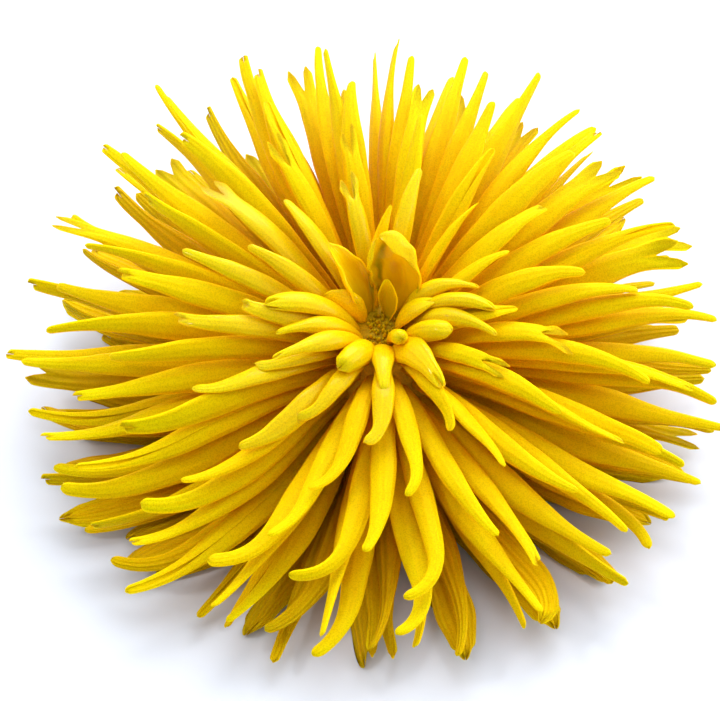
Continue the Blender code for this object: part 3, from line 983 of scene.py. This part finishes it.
def add_rays():
    """Add every fan of ray florets in place of its solid."""
    for ring, (florets, fans, *_) in enumerate(RAY_RINGS):
        phase = 0.5 * math.tau / florets * (ring % 2) + RING_TWIST * ring
        spacing = math.tau / florets
        for fan in range(fans):
            first = fan * florets // fans
            last = (fan + 1) * florets // fans
            start = phase + first * spacing
            parts = []
            for k in range(last - first):
                heading = start + (k + FIRST_PLACE) * spacing
                path = ray_path(ring, first + k, heading)
                parts.append(roll_floret(path, ray_look(ring, first + k, heading)))
            node = f"ray_ring_{ring + 1}_fan_{fan + 1}"
            strap = ring < STRAP_RINGS
            middle = start + 0.5 * (last - first) * spacing
            glossy = ring >= GLOSSY_RINGS and math.cos(middle - GLOSSY_SIDE) > 0.0
            skin = STRAP if strap else HEART if glossy else QUILL
            piece = add_piece(f"rolled_{node}", parts, skin)
            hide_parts(node)


def add_heart():
    """Add the florets beside the eye, one piece for each solid."""
    for number, row in enumerate(HEART_FLORETS):
        node = f"heart_floret_{number + 1:02d}"
        part = roll_floret(heart_path(row), heart_look(number, row))
        piece = add_piece(f"rolled_{node}", [part], HEART)
        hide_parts(node)


def close_rings(rows, cols):
    """Return the quads that close the first and last ring of a lathe grid."""
    faces = []
    for start, step in ((0, -1), ((rows - 1) * cols, 1)):
        for k in range(cols // 2 - 1):
            face = [start + k, start + k + 1, start + cols - 2 - k, start + cols - 1 - k]
            faces.append(face if step > 0 else face[::-1])
    return np.array(faces)


def lathe_faces(rows, cols):
    """Return the quads of a closed turned body of rings, its first ring uppermost."""
    number = np.arange(rows * cols).reshape(rows, cols)
    after = np.roll(number, -1, axis=1)
    wall = np.stack([number[:-1], number[1:], after[1:], after[:-1]], axis=-1).reshape(-1, 4)
    return np.concatenate([wall, close_rings(rows, cols)[:, ::-1]])


def plain_paint(along, across, reach, tone):
    """Return the paint values of a body that has no inner side and isn't a floret."""
    nothing = np.zeros(len(along))
    return {
        "along": along,
        "across": across,
        "reach": reach,
        "inside": nothing,
        "tone": np.full(len(along), tone),
        "ripe": nothing,
        "dry_and_shade": nothing,
    }


def turned_body(profile, cols, bumps):
    """Turn a profile of (radius, height) about the head's axis; bumps swells each point."""
    radii = np.array([row[0] for row in profile])
    heights = np.array([row[1] for row in profile])
    spins = np.arange(cols) * math.tau / cols
    height, spin = np.meshgrid(heights, spins, indexing="ij")
    radius = np.repeat(radii[:, None], cols, axis=1) * bumps(height, spin)
    local = np.stack([radius * np.cos(spin), radius * np.sin(spin), height], axis=-1).reshape(-1, 3)
    travel = np.concatenate([[0.0], np.cumsum(np.hypot(np.diff(radii), np.diff(heights)))])
    along = np.repeat(travel / travel[-1], cols)
    across = np.tile(spins / math.pi - 1.0, len(profile))
    paint = plain_paint(along, across, np.repeat(travel, cols), 0.5)
    return in_world(local), lathe_faces(len(profile), cols), paint


def receptacle_outline():
    """Return the outline of the dressed receptacle, from its crown to the cut of the stalk."""
    dome = RECEPTACLE_RADIUS + DOME_SWELL
    skirt = RECEPTACLE_RADIUS + SKIN_GAP + 0.8 * SKIN_DEPTH
    outline = [(0.02, dome)]
    for degrees in range(86, -66, -2):
        spread = float(rise(-degrees, -66.0, -62.0)) * float(rise(degrees, -64.0, -58.0))
        radius = dome + (skirt - dome) * spread
        angle = math.radians(degrees)
        outline.append((radius * math.cos(angle), radius * math.sin(angle)))
    neck = [
        (4.0, -9.5), (3.2, -9.95), (2.85, -10.4), (2.70, -10.9), (2.65, -11.5), (2.62, -12.1),
        (2.58, -12.32),
    ]
    cut = [
        (2.45, -12.40), (2.20, -12.36), (1.90, -12.38), (1.30, -12.30), (0.70, -12.26), (0.02, -12.24),
    ]
    return outline + neck + cut


def receptacle_bumps(height, spin):
    """Return the swelling of the stalk's ridges and of the shallow pits of the dome."""
    stalk = rise(-height, 8.6, 10.0)
    dome = (1.0 - stalk) * rise(height, -9.0, -7.5)
    ridges = 1.0 + 0.035 * stalk * np.cos(8.0 * spin + 0.5 * np.sin(3.0 * spin))
    return ridges * (1.0 + 0.008 * dome * np.sin(22.0 * spin + 3.0 * height) * np.sin(3.2 * height))


def add_receptacle():
    """Add the domed receptacle with its ribbed, freshly cut stalk."""
    part = turned_body(receptacle_outline(), STALK_SIDES, receptacle_bumps)
    piece = add_piece("dressed_receptacle", [part], STALK)
    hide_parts("receptacle")


def add_bracts():
    """Add both rings of bracts under the florets."""
    for ring, (node, row) in enumerate(BRACT_RINGS.items()):
        count, length, base, tip, width, thickness = row
        spacing = math.tau / count
        parts = []
        for k in range(count):
            path = bract_path((k + FIRST_PLACE) * spacing, length, base, tip)
            parts.append(roll_floret(path, bract_look(BRACT_SERIES + ring, k, length, width, thickness)))
        piece = add_piece(f"leafy_{node}", parts, BRACT)
        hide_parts(node)


def bud_part(reach, heading, size, seed):
    """Return one unopened bud of the eye, a pinched five-lobed knob."""
    rows = 7
    cols = 10
    elevation = math.acos(min(1.0, reach / (RECEPTACLE_RADIUS + SKIN_GAP)))
    foot = np.array(direction(elevation, heading)) * (RECEPTACLE_RADIUS + 0.1)
    axis = np.array(direction(elevation + 0.9 * (seed - 0.5), heading + 1.2 * (0.5 - seed)))
    beside = np.array(sideways(heading))
    front = np.cross(axis, beside)
    front /= np.linalg.norm(front)
    spins = np.arange(cols) * math.tau / cols
    share, spin = np.meshgrid(np.linspace(1.0, 0.0, rows), spins, indexing="ij")
    radius = 0.5 * size * (0.70 + 0.40 * np.sin(math.pi * share**0.8)) * (1.0 - share**5)
    radius = np.maximum(radius * (1.0 + 0.16 * share * np.cos(5.0 * spin + 6.0 * seed)), 0.02)
    tall = 1.5 * size * (0.85 + 0.3 * seed)
    local = (
        foot
        + axis * (tall * share)[..., None]
        + beside * (radius * np.cos(spin))[..., None]
        + front * (radius * np.sin(spin))[..., None]
    ).reshape(-1, 3)
    paint = plain_paint(share.ravel(), (spin / math.pi - 1.0).ravel(), (share * tall).ravel(), seed)
    return in_world(local), lathe_faces(rows, cols), paint


def add_eye():
    """Add the unopened buds that fill the eye between the florets, set on a sunflower spiral."""
    feet = []
    for row in HEART_FLORETS:
        foot_heading = math.radians(row[0])
        feet.append((row[3] * math.cos(foot_heading), row[3] * math.sin(foot_heading)))
    parts = []
    for number in range(1, EYE_BUDS + 1):
        floret = (EYE_SERIES, number)
        heading = number * GOLDEN_ANGLE + 0.5 * wobble(*floret, "bud heading")
        reach = EYE_REACH * math.sqrt(number / EYE_BUDS) * vary(floret, "bud reach", 1.0, 0.12)
        seed = vary(floret, "bud seed", 0.5, 0.5)
        here = (reach * math.cos(heading), reach * math.sin(heading))
        if min(math.dist(here, foot) for foot in feet) > BUD_CLEARANCE:
            parts.append(bud_part(reach, heading, 0.30 + 0.36 * seed, seed))
    piece = add_piece("eye_buds", parts, EYE)
    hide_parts("disc_florets")


def add_floor():
    """Add the pale floor with its raised rim, which isn't part of the object."""
    spins = [math.tau * k / FLOOR_SIDES for k in range(FLOOR_SIDES)]
    corners = [(r * math.cos(spin), r * math.sin(spin), z) for r, z in FLOOR_OUTLINE for spin in spins]
    faces = [tuple(range(FLOOR_SIDES))]
    for ring in range(len(FLOOR_OUTLINE) - 1):
        for k in range(FLOOR_SIDES):
            first = ring * FLOOR_SIDES + k
            after = ring * FLOOR_SIDES + (k + 1) % FLOOR_SIDES
            faces.append((first, first + FLOOR_SIDES, after + FLOOR_SIDES, after))
    mesh = bpy.data.meshes.new("floor")
    mesh.from_pydata(corners, [], faces)
    mesh.shade_smooth()
    material = bpy.data.materials.new("floor_white")
    material.use_nodes = True
    surface = material.node_tree.nodes["Principled BSDF"]
    surface.inputs["Base Color"].default_value = (*FLOOR_COLOUR, 1.0)
    surface.inputs["Roughness"].default_value = 0.9
    surface.inputs["Specular IOR Level"].default_value = 0.0
    mesh.materials.append(material)
    floor = bpy.data.objects.new("floor", mesh)
    bpy.context.scene.collection.objects.link(floor)


def add_lamps():
    """Add the soft studio lamps."""
    for name, place, aim, size, power in LAMPS:
        lamp = bpy.data.lights.new(name, "AREA")
        lamp.shape = "DISK"
        lamp.size = size
        lamp.energy = power
        holder = bpy.data.objects.new(name, lamp)
        holder.location = place
        holder.rotation_euler = (Vector(aim) - Vector(place)).to_track_quat("-Z", "Y").to_euler()
        bpy.context.scene.collection.objects.link(holder)


def add_world():
    """Light everything softly from all round, most from above and behind."""
    world = bpy.data.worlds.new("studio")
    world.use_nodes = True
    nodes = world.node_tree.nodes
    links = world.node_tree.links
    where = nodes.new("ShaderNodeTexCoord")
    slope = nodes.new("ShaderNodeVectorMath")
    slope.operation = "DOT_PRODUCT"
    slope.inputs[1].default_value = SKY_AXIS
    links.new(where.outputs["Generated"], slope.inputs[0])
    ramp = nodes.new("ShaderNodeMapRange")
    ramp.inputs["From Min"].default_value = SKY_FROM
    ramp.inputs["From Max"].default_value = SKY_TO
    ramp.inputs["To Min"].default_value = SKY_DIM
    ramp.inputs["To Max"].default_value = SKY_BRIGHT
    links.new(slope.outputs["Value"], ramp.inputs["Value"])
    links.new(ramp.outputs["Result"], nodes["Background"].inputs["Strength"])
    nodes["Background"].inputs["Color"].default_value = (1.0, 1.0, 1.0, 1.0)
    bpy.context.scene.world = world


def add_camera():
    """Look down at the head from the front."""
    lens = bpy.data.cameras.new("camera")
    lens.sensor_width = SENSOR_WIDTH
    lens.lens = SENSOR_WIDTH * CAMERA_DISTANCE / FRAME_WIDTH
    lens.clip_start = 0.01
    camera = bpy.data.objects.new("camera", lens)
    back = Vector((0.0, -math.cos(CAMERA_ELEVATION), math.sin(CAMERA_ELEVATION)))
    camera.location = CAMERA_TARGET + back * CAMERA_DISTANCE
    camera.rotation_euler = (0.5 * math.pi - CAMERA_ELEVATION, 0.0, 0.0)
    bpy.context.scene.collection.objects.link(camera)
    bpy.context.scene.camera = camera


add_rays()
add_heart()
add_receptacle()
add_bracts()
add_eye()
add_floor()
add_world()
add_lamps()
add_camera()
bpy.context.scene.view_settings.view_transform = "Standard"
